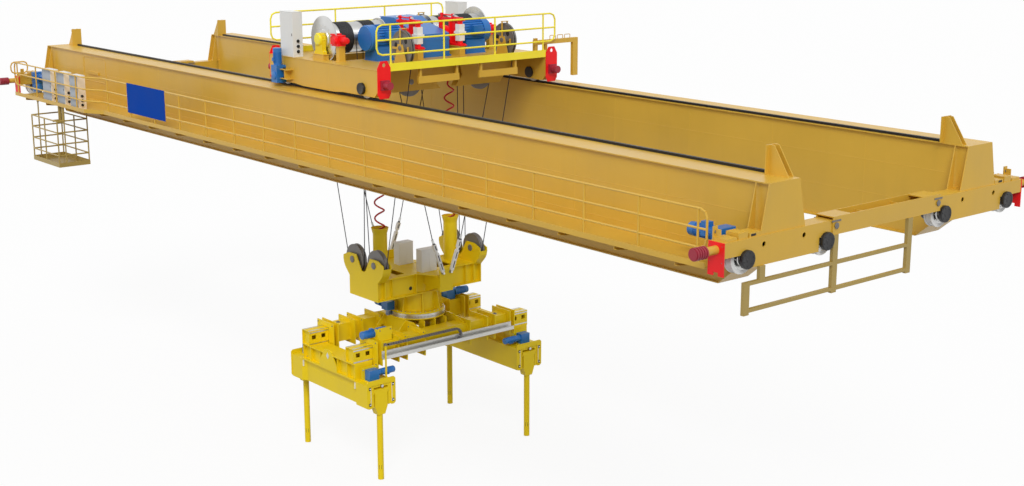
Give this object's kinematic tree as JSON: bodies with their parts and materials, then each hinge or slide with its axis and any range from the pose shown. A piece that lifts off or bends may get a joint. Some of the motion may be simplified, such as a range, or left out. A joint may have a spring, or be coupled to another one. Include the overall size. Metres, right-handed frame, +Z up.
{
  "type": "die-handling crane",
  "caption": "Double-girder overhead travelling crane with a trolley, four-rope lifting block and slewing telescopic spreader for press dies.",
  "frame": {"origin": "mid span, half way between the two end trucks, in the plane of the runway rail tops that the travelling wheels stand on", "axes": "+X along the girders, +Y along the runway away from the walkway, +Z up"},
  "size_m": [28.95, 9.67, 11.11],
  "materials": {
    "ochre": "satin ochre-yellow paint",
    "yellow": "satin bright yellow paint",
    "blue": "gloss blue machine paint",
    "red": "satin red paint",
    "maroon": "dark red polyurethane",
    "white": "white paint",
    "black": "black paint",
    "rail": "dark rolled steel",
    "steel": "bright machined steel",
    "grey": "grey cast iron",
    "cabinet": "light grey powder coat",
    "rope": "greased wire rope",
    "cable": "red cable sheath",
    "chain": "dark grey nylon links",
    "alu": "mill finish"
  },
  "bodies": {
    "bridge": {"girder_webs": "ochre", "girder_flanges": "ochre", "girder_end_plates": "ochre", "trolley_rails": "rail", "end_trucks": "ochre", "bearing_caps": "black", "tie_beams": "ochre", "rail_guards": "red", "travel_buffers": "maroon", "travel_gearmotors": "blue", "walkway_deck": "ochre", "walkway_railing": "ochre", "walkway_cabinets": "cabinet", "maintenance_cage": "ochre", "guard_frame": "ochre", "festoon": "black"},
    "wheels_near_outer": {"travel_wheels_near_outer": "white"},
    "wheels_near_inner": {"travel_wheels_near_inner": "white"},
    "wheels_far_inner": {"travel_wheels_far_inner": "white"},
    "wheels_far_outer": {"travel_wheels_far_outer": "white"},
    "trolley": {"trolley_frame": "ochre", "trolley_railings": "yellow", "trolley_cabinets": "cabinet", "trolley_caps": "black", "trolley_guards": "red", "trolley_buffers": "maroon", "hoist_gearbox": "blue", "hoist_motors": "blue", "hoist_brakes": "red", "drum_pedestals": "yellow", "sheave_brackets": "ochre", "tow_arm": "ochre", "hoist_ropes": "rope", "spiral_cables": "cable"},
    "wheelset_left": {"trolley_wheels_left": "white"},
    "wheelset_right": {"trolley_wheels_right": "white"},
    "drums": {"hoist_drums": "steel"},
    "high_sheaves_left": {"upper_sheaves_left": "grey"},
    "high_sheaves_right": {"upper_sheaves_right": "grey"},
    "low_sheaves_near": {"lower_sheaves_near": "grey"},
    "low_sheaves_far": {"lower_sheaves_far": "grey"},
    "lifting_block": {"block_frame": "yellow", "cable_baskets": "yellow", "block_boxes": "cabinet", "rope_anchors": "steel", "slew_turret": "yellow", "slew_drive": "blue"},
    "block_wheels_left": {"block_sheaves_left": "grey"},
    "block_wheels_right": {"block_sheaves_right": "grey"},
    "spreader": {"slew_ring": "steel", "spreader_frame": "yellow", "cable_tray": "alu", "drag_chain": "chain", "spreader_motors": "blue"},
    "arm_near": {"near_arm": "yellow"},
    "arm_far": {"far_arm": "yellow"},
    "leg_1": {"leg_near_left": "yellow"},
    "leg_2": {"leg_near_right": "yellow"},
    "leg_3": {"leg_far_left": "yellow"},
    "leg_4": {"leg_far_right": "yellow"}
  },
  "joints": [
    {"name": "travel_roll_near_outer", "type": "hinge", "parent": "bridge", "child": "wheels_near_outer", "pos_m": [0, -3.75, 0.25], "axis": [1, 0, 0], "continuous": true},
    {"name": "travel_roll_near_inner", "type": "hinge", "parent": "bridge", "child": "wheels_near_inner", "pos_m": [0, -1.712, 0.25], "axis": [1, 0, 0], "continuous": true},
    {"name": "travel_roll_far_inner", "type": "hinge", "parent": "bridge", "child": "wheels_far_inner", "pos_m": [0, 1.712, 0.25], "axis": [1, 0, 0], "continuous": true},
    {"name": "travel_roll_far_outer", "type": "hinge", "parent": "bridge", "child": "wheels_far_outer", "pos_m": [0, 3.75, 0.25], "axis": [1, 0, 0], "continuous": true},
    {"name": "trolley_travel", "type": "slide", "parent": "bridge", "child": "trolley", "axis": [1, 0, 0], "range_m": [-11.43, 11.03]},
    {"name": "trolley_roll_left", "type": "hinge", "parent": "trolley", "child": "wheelset_left", "pos_m": [-1.5, 0, 1.6903], "axis": [0, 1, 0], "continuous": true},
    {"name": "trolley_roll_right", "type": "hinge", "parent": "trolley", "child": "wheelset_right", "pos_m": [1.9, 0, 1.6903], "axis": [0, 1, 0], "continuous": true},
    {"name": "hoist", "type": "slide", "parent": "trolley", "child": "lifting_block", "axis": [0, 0, 1], "range_m": [0, 3], "deforming": ["hoist_ropes", "spiral_cables"]},
    {"name": "drum_turn", "type": "hinge", "parent": "trolley", "child": "drums", "pos_m": [-0.25, 0, 2.63], "axis": [0, 1, 0], "continuous": true},
    {"name": "upper_sheave_turn_left", "type": "hinge", "parent": "trolley", "child": "high_sheaves_left", "pos_m": [-1.5, 0, 2.53], "axis": [0, 1, 0], "continuous": true},
    {"name": "upper_sheave_turn_right", "type": "hinge", "parent": "trolley", "child": "high_sheaves_right", "pos_m": [1.9, 0, 2.53], "axis": [0, 1, 0], "continuous": true},
    {"name": "lower_sheave_turn_near", "type": "hinge", "parent": "trolley", "child": "low_sheaves_near", "pos_m": [0.2, -1.07, 1.68], "axis": [1, 0, 0], "continuous": true},
    {"name": "lower_sheave_turn_far", "type": "hinge", "parent": "trolley", "child": "low_sheaves_far", "pos_m": [0.2, 1.07, 1.68], "axis": [1, 0, 0], "continuous": true},
    {"name": "block_sheave_turn_left", "type": "hinge", "parent": "lifting_block", "child": "block_wheels_left", "pos_m": [-0.265, 0, -2.88], "axis": [0, 1, 0], "continuous": true},
    {"name": "block_sheave_turn_right", "type": "hinge", "parent": "lifting_block", "child": "block_wheels_right", "pos_m": [0.665, 0, -2.88], "axis": [0, 1, 0], "continuous": true},
    {"name": "slewing", "type": "hinge", "parent": "lifting_block", "child": "spreader", "pos_m": [0.2, 0, -4.37], "axis": [0, 0, 1], "range_deg": [-90, 90]},
    {"name": "near_arm_reach", "type": "slide", "parent": "spreader", "child": "arm_near", "axis": [0, -1, 0], "range_m": [0, 0.6]},
    {"name": "far_arm_reach", "type": "slide", "parent": "spreader", "child": "arm_far", "axis": [0, 1, 0], "range_m": [0, 0.6]},
    {"name": "leg_1_shift", "type": "slide", "parent": "arm_near", "child": "leg_1", "axis": [-1, 0, 0], "range_m": [-0.45, 0]},
    {"name": "leg_2_shift", "type": "slide", "parent": "arm_near", "child": "leg_2", "axis": [1, 0, 0], "range_m": [-0.45, 0]},
    {"name": "leg_3_shift", "type": "slide", "parent": "arm_far", "child": "leg_3", "axis": [-1, 0, 0], "range_m": [-0.45, 0]},
    {"name": "leg_4_shift", "type": "slide", "parent": "arm_far", "child": "leg_4", "axis": [1, 0, 0], "range_m": [-0.45, 0]}
  ],
  "couplings": [
    {"joint": "travel_roll_near_inner", "follows": "travel_roll_near_outer", "ratio": 1},
    {"joint": "travel_roll_far_inner", "follows": "travel_roll_near_outer", "ratio": 1},
    {"joint": "travel_roll_far_outer", "follows": "travel_roll_near_outer", "ratio": 1},
    {"joint": "trolley_roll_left", "follows": "trolley_travel", "rad_per_m": 4.7619},
    {"joint": "trolley_roll_right", "follows": "trolley_travel", "rad_per_m": 4.7619},
    {"joint": "drum_turn", "follows": "hoist", "rad_per_m": 5.5556},
    {"joint": "upper_sheave_turn_left", "follows": "hoist", "rad_per_m": -4.878},
    {"joint": "upper_sheave_turn_right", "follows": "hoist", "rad_per_m": 4.878},
    {"joint": "lower_sheave_turn_near", "follows": "hoist", "rad_per_m": 2.857},
    {"joint": "lower_sheave_turn_far", "follows": "hoist", "rad_per_m": -2.857},
    {"joint": "block_sheave_turn_left", "follows": "hoist", "rad_per_m": -2.7027},
    {"joint": "block_sheave_turn_right", "follows": "hoist", "rad_per_m": 2.7027},
    {"joint": "far_arm_reach", "follows": "near_arm_reach", "ratio": 1},
    {"joint": "leg_1_shift", "follows": "leg_2_shift", "ratio": 1},
    {"joint": "leg_3_shift", "follows": "leg_4_shift", "ratio": 1}
  ]
}
